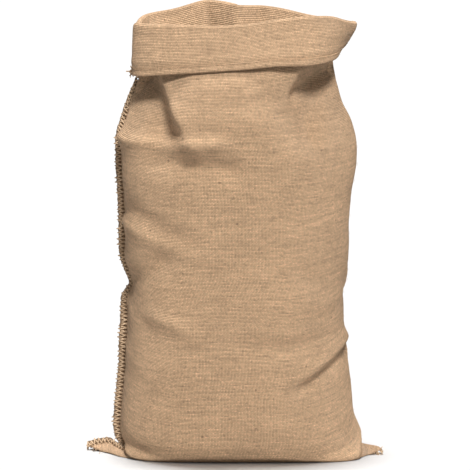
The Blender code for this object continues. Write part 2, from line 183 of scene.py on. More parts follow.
# The folded side sticks out as a fin where the mouth turns over: how far, and how wide.
FIN_REACH = 25.0
FIN_WIDTH = 30.0
FIN_FOOT = 800.0
SEAM_SINKS = 3.0             # how far the overcast edge's inner side lies over the cloth
# Where the overcast edge doubles back onto the ear it sags forward: the course, the length over
# which it does so, and how far.
SEAM_DIP_AT = 80.0
SEAM_DIP_LENGTH = 15.0
SEAM_DIP = (9.0, -27.0, -7.0)

# How the cloth is cut into rows: each entry is the course that a stretch runs up to, and the
# length of a row in it.
ROW_STRETCHES = [(110, 3.6), (180, 5.5), (780, 7.2), (985, 6.0)]
FOLD_ROWS = 7
CUFF_ROWS = 17
HEM_TURN_ROWS = 4
HEM_FLAP_ROWS = 5
SIDE_CROWDING = 0.45         # columns run closer together towards the two sides
COURSE_POINTS = 1441         # points that half a course is measured along by
HEM_RADIUS = 1.7             # outside radius where the hem turns up
HEM_PRESS = (0.0, 0.0, -0.8, -1.3, -1.0)    # how the stitches press each row of the hem in
PUFF = (1.7, 21.0, 7.0)      # the cuff swells over the hem: how far, how high up, over what length

# Dents in the cloth, soft ones first: how long each kind is, across and up the cloth, how deep it
# is, and the seed offset of its pattern.
Dent = namedtuple("Dent", "across up depth offset")
DENTS = [
    Dent(150, 110, 3.4, 11.0),
    Dent(70, 46, 1.5, 37.0),
    Dent(30, 22, 0.55, 71.0),
]

# Dents start above this course and are full so far above it. Over the cuff they fade to a least
# share of their depth, from so far under the hem to so far over it.
DENTS_FROM = 110.0
DENTS_GROW = 90.0
HEM_CALM = 30.0
HEM_SHARE = 0.25
DENTS_OFF_SEAM = 30.0        # they are full this far from the side seam
# The overcasting gathers the cloth beside it: how deep, how far from the seam and over what width.
# The gathers end below the rim: how far, and over what length they fade.
PUCKER = (1.1, 12.0, 26.0)
PUCKER_END = (20.0, 40.0)

# The overcast side seam as a row for each place along it: the course that it is at, which way
# the seam's edge points there, and how wide it stands.
SeamTurn = namedtuple("SeamTurn", "v points width")
SEAM_TURNS = [
    SeamTurn(0, (-0.75, 0.0, 0.66), 10),
    SeamTurn(10, (-0.35, 0.0, 0.94), 12),
    SeamTurn(40, (-0.15, 0.0, 0.99), 12),
    SeamTurn(60, (-0.35, 0.0, 0.94), 11),
    SeamTurn(76, (-0.62, 0.0, 0.78), 12),
    SeamTurn(88, (-0.80, 0.0, 0.60), 14),
    SeamTurn(104, (-0.99, 0.0, 0.10), 18),
    SeamTurn(130, (-1.0, 0.0, 0.0), 17),
    SeamTurn(390, (-1.0, 0.0, 0.0), 15),
    SeamTurn(438, (-0.6, 0.8, 0.0), 11),
    SeamTurn(480, (-0.9, 0.4, 0.0), 12),
    SeamTurn(540, (-1.0, 0.0, 0.0), 15),
    SeamTurn(720, (-1.0, 0.0, 0.0), 15),
    SeamTurn(780, (-0.75, 0.66, 0.0), 14),
    SeamTurn(850, (-0.5, 0.87, 0.0), 11),
    SeamTurn(868, (-0.4, 0.92, 0.0), 10),
]
SEAM_POINTS = 330            # courses that the side seam's line is taken from
SEAM_STEP = 2.6              # the seams' lines are cut into steps of this length
HEM_STEP = 2.5
SEAM_LEANS_BACK = 3.0        # the seam is drawn in by this much where it points backward
BOTTOM_SEAM = (0.035, 0.975)    # the share of the bottom's width that its seam runs over
BOTTOM_POINTS = 161
BOTTOM_GAP = 0.3             # between the bottom seam and the cloth over it
HEM_LINE = 0.65              # where the hem's stitches run, as a share of its last row
HEM_STITCH_LIFT = 0.25
HEM_STITCH_WIDTH = 6.0
# Sides of the section of an overcast edge, a thread and a loose fibre.
EDGE_SIDES = 12
THREAD_SIDES = 5
FIBRE_SIDES = 3
EDGE_WEAVE = 0.0028          # how much flat cloth one side of an edge shows, in metres

# Loose ends of yarn: where a bunch starts, which way it goes, how many strands it has, how long
# and thick they are, and how far they stray.
LooseEnd = namedtuple("LooseEnd", "at toward count length thick stray")
LOOSE_ENDS = [
    LooseEnd((-202, -9, 770), (-0.8, -0.3, -0.4), 26, 8, 2.6, 0.8),       # seam's end at the hem
    LooseEnd((-204, -10, 766), (-0.4, -0.2, -0.9), 7, 10, 1.3, 0.6),      # and what hangs from it
    LooseEnd((-290, -3, 8), (-1.0, -0.5, -0.1), 12, 9, 1.8, 0.55),        # left ear's tip
    LooseEnd((-284, -12, 5), (-0.7, -0.9, -0.2), 7, 11, 1.0, 0.6),
    LooseEnd((-272, -30, 3), (0.3, -1.0, 0.0), 2, 24, 0.7, 0.5),          # wisp in front of it
    LooseEnd((292, -37, 7), (0.9, -0.5, -0.2), 8, 9, 1.6, 0.45),          # right ear's tip
    LooseEnd((284, -45, 3), (0.6, -0.9, -0.1), 5, 9, 0.9, 0.5),
]
FIBRE_LEAN = 0.1             # how far a loose fibre may lean over, in radians
FIBRE_SIZES = (0.4, 1.3)     # the least and the greatest size of one, as a share of its length

BARK_SPACING = 0.034         # bits of bark stand this far apart, in metres
BARK_SIZE = 0.085            # and are at most this big, as a share of that
WEAVE_RELIEF = 0.0026        # how high the yarns' crowns are raised, in metres

# The suns: the stage setting that says how strong each is, how wide its disc is in degrees, which
# way it shines, and whether it passes the floor by.
Sun = namedtuple("Sun", "name spread toward passes_floor")
SUNS = [
    Sun("key", 14, (-0.14, 0.60, -0.79), True),
    Sun("top", 10, (0.03, -0.06, -1.0), False),
]
FLOOR_RADIUS = 9.0           # in metres
ROOM_SEEN = 1.05             # how bright the room is to the camera


# ---------------------------------------------------------------------------------------------
# Sizes and colours that a user would change
# ---------------------------------------------------------------------------------------------


def length(name, description, default):
    return FloatProperty(
        name=name, description=description, default=default, min=0.0, unit="LENGTH"
    )


def amount(name, description, default):
    return FloatProperty(name=name, description=description, default=default, min=0.0)


def colour(name, description, default):
    return FloatVectorProperty(
        name=name, description=description, default=default, subtype="COLOR", size=3, min=0, max=1
    )


class SackClothSettings(bpy.types.PropertyGroup):
    """The hessian's sizes and colours."""

    panel_width: length("Panel width", "Flat width from the side seam to the folded side", 0.6)
    thickness: length("Thickness", "Thickness of the hessian", 0.002)
    fold_radius: length("Fold radius", "Inside radius where the mouth turns over", 0.0045)
    hem_width: length("Hem width", "How far the hem is turned up", 0.0125)
    yarn_pitch: length("Yarn pitch", "Distance from one yarn to the next", 0.0027)
    columns: IntProperty(
        name="Columns", description="Columns of cloth across one panel", default=122, min=20
    )
    dent_depth: amount("Dents", "How deep the small dents are", 1.0)
    seed: FloatProperty(name="Seed", description="Moves the pattern of dents", default=3.0)
    straw: colour("Straw", "Colour of the yarn's crowns", (0.62, 0.407, 0.242))
    # shade is painted shade: the colour that the gaps between yarns are darkened to
    shade: colour("Shade", "Colour of the gaps between yarns", (0.25, 0.14, 0.07))
    speck: colour("Speck", "Colour of the bits of bark in the yarn", (0.10, 0.045, 0.02))


class SackSeamSettings(bpy.types.PropertyGroup):
    """The overcast seams' and the hem stitching's sizes and colour."""

    thickness: length("Seam thickness", "Thickness of the overcast edge", 0.006)
    bottom_width: length("Bottom seam width", "Width of the bottom seam under the sack", 0.017)
    bottom_thickness: length("Bottom seam thickness", "Thickness of the bottom seam", 0.0034)
    thread: length("Thread", "Diameter of the overcasting thread", 0.003)
    pitch: length("Stitch pitch", "Distance from one overcast stitch to the next", 0.0078)
    hem_thread: length("Hem thread", "Diameter of the hem's thread", 0.0013)
    hem_pitch: length("Hem pitch", "Length of one stitch in the hem", 0.0075)
    seed: IntProperty(name="Seed", description="Moves the stitches' unevenness", default=5)
    thread_colour: colour("Thread colour", "Colour of the jute thread", (0.72, 0.53, 0.35))
    thread_shade: colour("Thread shade", "Colour between its strands", (0.30, 0.19, 0.11))


class SackFibreSettings(bpy.types.PropertyGroup):
    """The loose fibres' sizes."""

    count: IntProperty(name="Count", description="Fibres to a square metre", default=1500, min=0)
    fibre_length: length("Length", "Length of one loose fibre", 0.009)
    fibre_thickness: length("Thickness", "Thickness of one loose fibre", 0.0004)
    seed: IntProperty(name="Seed", description="Moves the fibres and loose ends about", default=8)


class SackStageSettings(bpy.types.PropertyGroup):
    """The camera, the floor and the light."""

    camera_distance: length("Camera distance", "From the camera to the point aimed at", 6.0)
    aim_height: length("Aim height", "Height of the point that the camera aims at", 0.44)
    elevation: FloatProperty(
        name="Elevation",
        description="How far above level the camera stands",
        default=math.radians(9.5),
        subtype="ANGLE",
    )
    lens: amount("Lens", "Focal length on a 36 mm sensor, in mm", 229.787)
    floor: colour("Floor", "Colour of the floor", (0.97, 0.97, 0.97))
    ambient: amount("Ambient", "Strength of the light from all round", 0.25)
    key: amount("Key light", "Strength of the light from the front", 4.4)
    top: amount("Top light", "Strength of the light from overhead", 2.6)
    bounce: amount("Bounce", "Share of light that the floor gives back", 0.8)


# ---------------------------------------------------------------------------------------------
# Shape of the cloth
# ---------------------------------------------------------------------------------------------


def smooth_columns(positions, values, at):
    """Values at the places asked for, on a smooth curve through a table's rows."""
    positions = np.asarray(positions, float)
    values = np.asarray(values, float)
    at = np.atleast_1d(np.asarray(at, float))
    step = np.diff(positions)
    slope = np.diff(values, axis=0) / step[:, None]
    tangent = np.empty_like(values)
    tangent[0], tangent[-1] = slope[0], slope[-1]
    weight = (step[1:] / (step[1:] + step[:-1]))[:, None]
    tangent[1:-1] = slope[:-1] * weight + slope[1:] * (1 - weight)
    tangent[1:-1][slope[:-1] * slope[1:] <= 0] = 0.0
    row = np.clip(np.searchsorted(positions, at, side="right") - 1, 0, len(step) - 1)
    t = np.clip((at - positions[row]) / step[row], 0, 1)[:, None]
    h = step[row][:, None]
    return (
        values[row] * (1 + 2 * t) * (1 - t) ** 2
        + tangent[row] * h * t * (1 - t) ** 2
        + values[row + 1] * t * t * (3 - 2 * t)
        + tangent[row + 1] * h * t * t * (t - 1)
    )


def course_at(v):
    """One course of the weave at distance v up the cloth, between the table's rows."""
    rows = [[*c.left, *c.right, *c.front, *c.back, *c[5:]] for c in COURSES]
    flat = smooth_columns([c.v for c in COURSES], rows, v)[0]
    return Course(v, flat[0:3], flat[3:6], flat[6:8], flat[8:10], *flat[10:13])


def unit(vectors):
    """Vectors with the length of each brought to 1."""
    return vectors / np.maximum(np.linalg.norm(vectors, axis=-1, keepdims=True), 1e-9)


def length_along(points):
    """How far along a line each of its points is."""
    return np.concatenate([[0], np.cumsum(np.linalg.norm(np.diff(points, axis=0), axis=1))])


def at_lengths(points, along, wanted):
    """A line's points, or the values that go with them, at the lengths asked for."""
    return np.stack([np.interp(wanted, along, column) for column in points.T], axis=1)


def half_course(course, middle, shares):
    """Points along one panel's share of a course, evenly spaced by shares of its own length."""
    angle = np.linspace(0, math.pi, COURSE_POINTS)
    leftward = angle <= math.pi / 2
    square = np.where(leftward, course.square_left, course.square_right)
    across = np.abs(np.cos(angle)) ** (2 / square)
    out = np.sin(angle).clip(0) ** (2 / square)
    centre = (course.left[0] + course.right[0]) / 2
    reach = (course.right[0] - course.left[0]) / 2
    x = centre + np.where(leftward, -1, 1) * across * reach
    ahead = np.clip((x - centre) / reach, 0, 1) ** 3
    behind = np.clip((centre - x) / reach, 0, 1) ** 3
    y = course.right[1] * ahead + course.left[1] * behind + middle[0] * out
    side_height = np.where(leftward, course.left[2], course.right[2])
    z = middle[1] + (side_height - middle[1]) * (1 - out / LEVEL_FROM).clip(0) ** course.dip
    line = np.stack([x, y, z], axis=1)
    along = length_along(line)
    return at_lengths(line, along, shares * along[-1])


def all_round(front):
    """A panel's numbers from the seam to the folded side, carried back behind to the seam."""
    return np.concatenate([front, front[-2:0:-1]])


def ring_at(v, shares):
    """A closed course: across the front panel from the seam, then back along the other panel."""
    course = course_at(v)
    front = half_course(course, course.front, shares)
    back = half_course(course, course.back, shares)
    return np.concatenate([front, back[-2:0:-1]])


def fold_rise(fold, points):
    """How far one fold raises each point."""
    start, end = np.array(fold.start, float), np.array(fold.end, float)
    run = end - start
    reach = np.linalg.norm(run)
    run /= reach
    seen = points[:, [0, 2]] - start
    along = seen @ run
    off = np.abs(seen @ np.array([-run[1], run[0]]))
    past = np.maximum(0, np.maximum(-along, along - reach))
    shape = np.exp(-((off / fold.width) ** fold.keen)) * np.exp(-((past / FOLD_END) ** 2))
    return fold.rise * shape


def plan_normals(ring):
    """Level unit vectors that point out of a closed ring."""
    ahead = np.roll(ring, -1, axis=0) - np.roll(ring, 1, axis=0)
    out = np.stack([ahead[:, 1], -ahead[:, 0], 0 * ahead[:, 0]], axis=1)
    return unit(out)


def mouth_at(shares):
    """Rim height, hem height, flare and bow for every point of a ring."""
    places = np.concatenate([shares / 2, 1 - shares[-2:0:-1] / 2])
    return smooth_columns([s.round for s in MOUTH], [s[1:] for s in MOUTH], places)


def with_folds(ring, shares, panel_width):
    """The ring with its folds raised and its fin drawn out."""
    out = plan_normals(ring)
    panel = len(shares)
    rise = np.zeros(len(ring))
    for fold in FOLDS:
        mine = slice(0, panel) if fold.side == "front" else slice(panel, None)
        rise[mine] += fold_rise(fold, ring[mine])
    from_seam = all_round(shares) * panel_width
    quiet = np.clip(from_seam / SIDE_QUIET - 0.4, 0, 1)
    ring = ring + out * (rise * quiet)[:, None]
    grown = np.clip((ring[:, 2] - FIN_FOOT) / (RIM_LEVEL - FIN_FOOT), 0, 1)
    from_fold = panel_width - from_seam
    ring[:, 0] += FIN_REACH * grown * np.exp(-((from_fold / FIN_WIDTH) ** 1.3))
    return ring


def body_ring(v, shares, sizes):
    """A ring of the sack's wall, with the rim's unevenness carried a little way down."""
    ring = ring_at(v, shares)
    uneven = mouth_at(shares)[:, 0] - sizes.fold_radius / MM - RIM_LEVEL
    level = course_at(v).front[1]
    share = np.clip(1 - (RIM_LEVEL - level) / RIM_FADE, 0, 1) ** 1.5
    ring[:, 2] += uneven * share
    return with_folds(ring, shares, sizes.panel_width / MM) if v > FOLDS_FROM else ring


def panel_shares(columns):
    """Shares of a panel's width at which the cloth's columns run."""
    even = np.linspace(0, 1, columns + 1)
    crowded = (1 - np.cos(math.pi * even)) / 2
    return even * (1 - SIDE_CROWDING) + crowded * SIDE_CROWDING


def row_places():
    """Distances up the cloth of the wall's rows, from the bottom seam to the fold of the mouth."""
    places = [0.0]
    for end, step in ROW_STRETCHES:
        count = max(1, round((end - places[-1]) / step))
        places += list(np.linspace(places[-1], end, count + 1)[1:])
    return places


def cuff_rows(rim, shares, sizes):
    """The rows that turn over at the mouth, hang down outside it and turn up again in the hem.

    Returned with each row's distance past the rim, along the cloth.
    """
    out = plan_normals(rim)
    up = np.array([0.0, 0.0, 1.0])
    radius = sizes.fold_radius / MM
    _, hem, flare, bow = mouth_at(shares).T
    rows, run = [], []
    for k in range(1, FOLD_ROWS + 1):
        turn = math.pi * k / (FOLD_ROWS + 1)
        rows.append(rim + radius * (out * (1 - math.cos(turn)) + up * math.sin(turn)))
        run.append(radius * turn)
    top = rim + 2 * radius * out
    foot = top + out * flare[:, None]
    foot[:, 2] = hem + HEM_RADIUS
    drop = float(np.mean(np.linalg.norm(foot - top, axis=1)))
    start = radius * math.pi
    for share in np.linspace(0, 1, CUFF_ROWS):
        puff = PUFF[0] * math.exp(-(((drop * (1 - share) - PUFF[1]) / PUFF[2]) ** 2))
        swell = out * (bow * math.sin(math.pi * share) + puff)[:, None]
        rows.append(top * (1 - share) + foot * share + swell)
        run.append(start + drop * share)
    flank = rows[-1]
    for k in range(1, HEM_TURN_ROWS + 1):
        turn = math.pi * k / HEM_TURN_ROWS
        rows.append(flank + HEM_RADIUS * (out * (1 - math.cos(turn)) - up * math.sin(turn)))
        run.append(start + drop + HEM_RADIUS * turn)
    flap = sizes.hem_width / MM
    lie = unit(rows[-1 - HEM_TURN_ROWS - 3] - flank)
    turned = rows[-1]
    for k in range(1, HEM_FLAP_ROWS + 1):
        share = k / HEM_FLAP_ROWS
        rows.append(turned + lie * flap * share + out * HEM_PRESS[k - 1])
        run.append(start + drop + math.pi * HEM_RADIUS + flap * share)
    return rows, run


def sheet_normals(grid):
    """Unit normals of a closed grid of rows, on the side that faces out of the wall."""
    across = np.roll(grid, -1, axis=1) - np.roll(grid, 1, axis=1)
    upward = np.gradient(grid, axis=0)
    return unit(np.cross(across, upward))


def dent_field(around, up, sizes):
    """How deep the cloth is dented at each place, by its distances round and up the cloth.

    The distance round is wound onto a circle, so that the dents meet at the seam.
    """
    girth = 2 * sizes.panel_width / MM
    depth = np.zeros(around.shape)
    for dent in DENTS:
        wind = 2 * math.pi * around / girth
        radius = girth / (2 * math.pi) / dent.across
        x, y, z = np.cos(wind) * radius, np.sin(wind) * radius, up / dent.up
        shift = dent.offset + sizes.seed
        values = [
            noise.noise(Vector((a + shift, b - shift, c + shift)))
            for a, b, c in zip(x.ravel(), y.ravel(), z.ravel())
        ]
        depth += dent.depth * np.reshape(values, around.shape)
    return depth


def seam_puckers(from_seam, up):
    """Short gathers that the overcasting draws into the cloth beside it."""
    wave = np.sin(up / 6.1 + 1.4 * np.sin(up / 23.0)) * (0.6 + 0.4 * np.sin(up / 41.0))
    depth, away, reach = PUCKER
    beside = np.exp(-(((from_seam - away) / reach) ** 2)) * np.clip(from_seam / 10, 0, 1)
    return depth * wave * beside


def cloth_grid(sizes):
    """The cloth as rows of points, with each point's place on the flat cloth."""
    shares = panel_shares(sizes.columns)
    ups = row_places()
    rows = [body_ring(v, shares, sizes) for v in ups]
    turned, run = cuff_rows(rows[-1], shares, sizes)
    grid = np.array(rows + turned)
    up = np.array(ups + [ups[-1] + r for r in run])
    width = sizes.panel_width / MM
    around = np.concatenate([shares, 2 - shares[-2:0:-1]]) * width
    around = np.tile(around, (len(grid), 1))
    up = np.tile(up[:, None], (1, grid.shape[1]))
    from_seam = np.minimum(around, 2 * width - around)
    calm = np.clip((up - DENTS_FROM) / DENTS_GROW, 0, 1)
    hem_from = ups[-1] + run[FOLD_ROWS + CUFF_ROWS - 4]
    calm *= np.clip((hem_from + HEM_CALM - up) / (2 * HEM_CALM), HEM_SHARE, 1)
    depth = dent_field(around, up, sizes) * sizes.dent_depth
    depth *= np.clip(from_seam / DENTS_OFF_SEAM, 0, 1)
    gathered = np.clip((ups[-1] - PUCKER_END[0] - up) / PUCKER_END[1], 0, 1)
    depth += seam_puckers(from_seam, up) * gathered
    rim_row = len(ups)
    outward = sheet_normals(grid)
    outward[rim_row + FOLD_ROWS :] *= -1
    level = plan_normals(rows[-1])
    outward[rim_row - 2 : rim_row + FOLD_ROWS + 1] = level
    outward[rim_row + FOLD_ROWS + CUFF_ROWS - 3 :] = level
    return grid + outward * (depth * calm)[:, :, None], around, up


def plain_mesh(name, form):
    """The mesh that a form has been built up to."""
    mesh = bpy.data.meshes.new(name)
    form.to_mesh(mesh)
    form.free()
    return mesh


def make_cloth_mesh(sizes):
    """One continuous sheet: bottom, wall, turned-over mouth, cuff and hem."""
    grid, around, up = cloth_grid(sizes)
    rows, ring = grid.shape[:2]
    form = bmesh.new()
    flat = form.loops.layers.uv.new("cloth")
    points = [[form.verts.new(Vector(p) * MM) for p in row] for row in grid]
    girth = 2 * sizes.panel_width
    for r in range(rows - 1):
        for k in range(ring):
            after = (k + 1) % ring
            face = form.faces.new(
                (points[r][k], points[r][after], points[r + 1][after], points[r + 1][k])
            )
            face.smooth = True
            sides = (around[r, k] * MM, girth if after == 0 else around[r, after] * MM)
            ends = (up[r, k] * MM, up[r + 1, k] * MM)
            places = ((0, 0), (1, 0), (1, 1), (0, 1))
            for loop, (side, end) in zip(face.loops, places):
                loop[flat].uv = (sides[side], ends[end])
    bmesh.ops.remove_doubles(form, verts=points[0], dist=0.00001)
    return plain_mesh("sack_hessian", form)


# ---------------------------------------------------------------------------------------------
# Materials
# ---------------------------------------------------------------------------------------------


def place(tree, kind, fill=None, **settings):
    """Adds a node, gives it its settings, and fills or wires the inputs that are named."""
    node = tree.nodes.new(kind)
    for name, value in settings.items():
        setattr(node, name, value)
    for key, value in (fill or {}).items():
        if isinstance(value, bpy.types.NodeSocket):
            tree.links.new(value, node.inputs[key])
        else:
            node.inputs[key].default_value = value
    return node


def calc(tree, operation, *values):
    """The result of one Math node."""
    return place(tree, "ShaderNodeMath", dict(enumerate(values)), operation=operation).outputs[0]


def blend_colours(tree, share, first, second, mode="MIX"):
    """The result of one colour Mix node."""
    fill = {0: share, 6: first, 7: second}
    return place(tree, "ShaderNodeMix", fill, data_type="RGBA", blend_type=mode).outputs[2]


def join_xyz(tree, x, y, z=0.0):
    return place(tree, "ShaderNodeCombineXYZ", {0: x, 1: y, 2: z}).outputs[0]


def move(tree, operation, vector, by):
    """The result of one Vector Math node."""
    return place(tree, "ShaderNodeVectorMath", {0: vector, 1: by}, operation=operation).outputs[0]


def clamp(tree, value, low=0.0, high=1.0):
    """A value kept between two others."""
    return place(tree, "ShaderNodeClamp", {0: value, 1: low, 2: high}).outputs[0]


def grey(tree, value):
    """A value as a colour."""
    return place(tree, "ShaderNodeCombineColor", {0: value, 1: value, 2: value}).outputs[0]


def patchiness(tree, vector, scale, detail=2.0, roughness=0.5):
    """A Noise texture's values, from 0 to 1."""
    fill = {"Vector": vector, "Scale": scale, "Detail": detail, "Roughness": roughness}
    return place(tree, "ShaderNodeTexNoise", fill, noise_dimensions="3D").outputs[0]


def new_group(name, kind, inputs, outputs):
    """A node group with its sockets, and its two end nodes."""
    tree = bpy.data.node_groups.new(name, kind + "NodeTree")
    for way, sockets in (("INPUT", inputs), ("OUTPUT", outputs)):
        for label, holds in sockets:
            tree.interface.new_socket(label, in_out=way, socket_type="NodeSocket" + holds)
    return tree, tree.nodes.new("NodeGroupInput"), tree.nodes.new("NodeGroupOutput")


def yarn_tone(tree, along, index, stretch):
    """A tone that changes from yarn to yarn, and slowly along each one."""
    place_on_yarn = join_xyz(
        tree, calc(tree, "MULTIPLY", along, stretch), calc(tree, "MULTIPLY", index, 7.31)
    )
    return patchiness(tree, place_on_yarn, 1.0, 3.0, 0.65)


def shared_group(name, build):
    """The node group of that name, built the first time that it is wanted."""
    return bpy.data.node_groups.get(name) or build(name)


def plain_weave_group(name):
    """Plain weave from a flat cloth's coordinates: its height, its tone and its gaps."""
    tree, entry, leave = new_group(
        name,
        "Shader",
        [("Flat Cloth", "Vector"), ("Yarn Pitch", "Float")],
        [("Height", "Float"), ("Tone", "Float"), ("Gap", "Float")],
    )
    flat = entry.outputs["Flat Cloth"]
    sides = place(tree, "ShaderNodeSeparateXYZ", {0: flat})
    pitch = entry.outputs["Yarn Pitch"]
    elsewhere = move(tree, "ADD", flat, (3.7, 9.1, 0.0))
    yarns = []
    for side, vector, scale in ((0, flat, 14.0), (1, elsewhere, 11.0)):
        drift = calc(tree, "SUBTRACT", patchiness(tree, vector, scale, 1.0), 0.5)
        yarns.append(calc(tree, "ADD", calc(tree, "DIVIDE", sides.outputs[side], pitch), drift))
    warp, weft = yarns
    warp_wave = calc(tree, "SINE", calc(tree, "MULTIPLY", warp, math.pi))
    weft_wave = calc(tree, "SINE", calc(tree, "MULTIPLY", weft, math.pi))
    over = calc(tree, "MULTIPLY_ADD", calc(tree, "MULTIPLY", warp_wave, weft_wave), 0.5, 0.5)
    under = calc(tree, "SUBTRACT", 1.0, over)
    warp_number, weft_number = calc(tree, "FLOOR", warp), calc(tree, "FLOOR", weft)
    warp_tone = yarn_tone(tree, weft, warp_number, 0.12)
    warp_tone = calc(tree, "MULTIPLY_ADD", warp_tone, 0.35, 0.29)
    slubs = calc(tree, "MULTIPLY", yarn_tone(tree, warp, weft_number, 0.07), 0.45)
    weft_tone = yarn_tone(tree, warp, calc(tree, "ADD", weft_number, 0.5), 0.5)
    weft_tone = calc(tree, "MULTIPLY_ADD", weft_tone, 0.55, slubs)
    warp_fat = calc(tree, "MULTIPLY_ADD", warp_tone, 0.7, 0.6)
    weft_fat = calc(tree, "MULTIPLY_ADD", weft_tone, 2.2, -0.1)
    crowns = []
    for wave, on_top, fat in ((warp_wave, over, warp_fat), (weft_wave, under, weft_fat)):
        crown = calc(tree, "MULTIPLY", calc(tree, "ABSOLUTE", wave), on_top)
        crowns.append(calc(tree, "MULTIPLY", crown, fat))
    height = calc(tree, "MAXIMUM", *crowns)
    seen_weft = clamp(tree, calc(tree, "MULTIPLY_ADD", under, 1.2, 0.15))
    paler = calc(tree, "SUBTRACT", weft_tone, warp_tone)
    tone = calc(tree, "MULTIPLY_ADD", paler, seen_weft, warp_tone)
    # how deep a point lies between the yarn crowns; it sets the roughness and the painted shade in
    # the gaps
    gap = calc(tree, "SUBTRACT", 1.0, calc(tree, "POWER", height, 0.6))
    for label, value in (("Height", height), ("Tone", tone), ("Gap", gap)):
        tree.links.new(value, leave.inputs[label])
    return tree


def bark_specks_group(name):
    """Scattered dark bits of bark, 1 where there is one."""
    tree, entry, leave = new_group(
        name,
        "Shader",
        [("Flat Cloth", "Vector"), ("Spacing", "Float"), ("Size", "Float")],
        [("Speck", "Float")],
    )
    scale = calc(tree, "DIVIDE", 1.0, entry.outputs["Spacing"])
    cells = place(
        tree,
        "ShaderNodeTexVoronoi",
        {"Vector": entry.outputs["Flat Cloth"], "Scale": scale, "Randomness": 1.0},
        voronoi_dimensions="2D",
    )
    chance = place(tree, "ShaderNodeSeparateColor", {0: cells.outputs["Color"]}).outputs[0]
    size = calc(tree, "MULTIPLY", calc(tree, "POWER", chance, 6.0), entry.outputs["Size"])
    inside = calc(tree, "DIVIDE", calc(tree, "SUBTRACT", size, cells.outputs["Distance"]), 0.02)
    tree.links.new(clamp(tree, inside), leave.inputs["Speck"])
    return tree


def new_material(name, shine):
    """A material with its nodes and its surface."""
    made = bpy.data.materials.new(name)
    made.use_nodes = True
    surface = made.node_tree.nodes["Principled BSDF"]
    surface.inputs["Specular IOR Level"].default_value = shine
    return made, made.node_tree, surface


def hessian_material(sizes, name="hessian_weave", light=1.0):
    """Undyed hessian, woven of uneven jute yarn. With light below 1 it is a darker copy of the
    same cloth: painted shade.
    """
    made, tree, surface = new_material(name, 0.2)
    flat = place(tree, "ShaderNodeUVMap", uv_map="cloth").outputs[0]
    group = shared_group("plain weave", plain_weave_group)
    fill = {"Flat Cloth": flat, "Yarn Pitch": sizes.yarn_pitch}
    weave = place(tree, "ShaderNodeGroup", fill, node_tree=group)
    group = shared_group("bark specks", bark_specks_group)
    fill = {"Flat Cloth": flat, "Spacing": BARK_SPACING, "Size": BARK_SIZE}
    bark = place(tree, "ShaderNodeGroup", fill, node_tree=group)
    tint = patchiness(tree, flat, 9.0, 4.0, 0.6)
    drawn_out = move(tree, "MULTIPLY", flat, (9.0, 120.0, 1.0))
    bands = calc(tree, "MULTIPLY", patchiness(tree, drawn_out, 1.0, 3.0, 0.6), 0.5 * light)
    # random mottle and streaks, scaled by light; light below 1 darkens them all over as painted
    # shade
    mottle_and_edge_shade = calc(tree, "MULTIPLY_ADD", tint, 0.3 * light, 0.6 * light)
    mottle_and_edge_shade = calc(tree, "ADD", mottle_and_edge_shade, bands)
    yarn = calc(tree, "MULTIPLY_ADD", weave.outputs["Tone"], 3.4, -0.6)
    value = calc(tree, "MULTIPLY", mottle_and_edge_shade, clamp(tree, yarn, 0.45, 1.7))
    # painted shade: the gaps between the yarn crowns are darkened towards the shade colour
    shadow = calc(tree, "MULTIPLY", weave.outputs["Gap"], 0.55)
    colour_now = blend_colours(tree, shadow, (*sizes.straw, 1.0), (*sizes.shade, 1.0))
    colour_now = blend_colours(tree, 1.0, colour_now, grey(tree, value), "MULTIPLY")
    specked = calc(tree, "MULTIPLY", bark.outputs["Speck"], 0.6)
    colour_now = blend_colours(tree, specked, colour_now, (*sizes.speck, 1.0))
    tree.links.new(colour_now, surface.inputs["Base Color"])
    rough = calc(tree, "MULTIPLY_ADD", weave.outputs["Gap"], 0.12, 0.84)
    tree.links.new(rough, surface.inputs["Roughness"])
    fill = {"Height": weave.outputs["Height"], "Strength": 1.0, "Distance": WEAVE_RELIEF}
    bump = place(tree, "ShaderNodeBump", fill)
    tree.links.new(bump.outputs[0], surface.inputs["Normal"])
    surface.inputs["Sheen Weight"].default_value = 0.08
    return made


def thread_material(sizes):
    """Twisted jute thread, a little paler and greyer than the cloth."""
    if "jute_twist" in bpy.data.materials:
        return bpy.data.materials["jute_twist"]
    made, tree, surface = new_material("jute_twist", 0.2)
    there = place(tree, "ShaderNodeTexCoord").outputs["Object"]
    fibres = patchiness(tree, there, 900.0, 3.0, 0.7)
    lengths = patchiness(tree, there, 120.0, 2.0, 0.6)
    mixed = calc(tree, "MULTIPLY_ADD", lengths, 0.7, calc(tree, "MULTIPLY", fibres, 0.5))
    fill = {"Value": mixed, "From Min": 0.35, "From Max": 0.85}
    share = place(tree, "ShaderNodeMapRange", fill).outputs[0]
    shade, pale = (*sizes.thread_shade, 1.0), (*sizes.thread_colour, 1.0)
    tree.links.new(blend_colours(tree, share, shade, pale), surface.inputs["Base Color"])
    surface.inputs["Roughness"].default_value = 0.88
    bump = place(tree, "ShaderNodeBump", {"Height": fibres, "Strength": 0.6, "Distance": 0.0006})
    tree.links.new(bump.outputs[0], surface.inputs["Normal"])
    return made


# ---------------------------------------------------------------------------------------------
# Pieces
# ---------------------------------------------------------------------------------------------


def loose_mesh(name, form):
    """The mesh that a form has been built up to, with its faces turned outward."""
    bmesh.ops.recalc_face_normals(form, faces=form.faces)
    return plain_mesh(name, form)


def tube_faces(form, rows):
    """Closes rings of points into a tube; gives each side face with its row and its side."""
    made = []
    for k, (lower, upper) in enumerate(zip(rows, rows[1:])):
        for j in range(len(lower)):
            after = (j + 1) % len(lower)
            face = form.faces.new((lower[j], lower[after], upper[after], upper[j]))
            face.smooth = True
            made.append((face, k, j))
    form.faces.new(rows[0])
    form.faces.new(rows[-1])
    return made


# A line that is sewn along: its points, the way out of the cloth at each, and its width there.
Run = namedtuple("Run", "points out width")


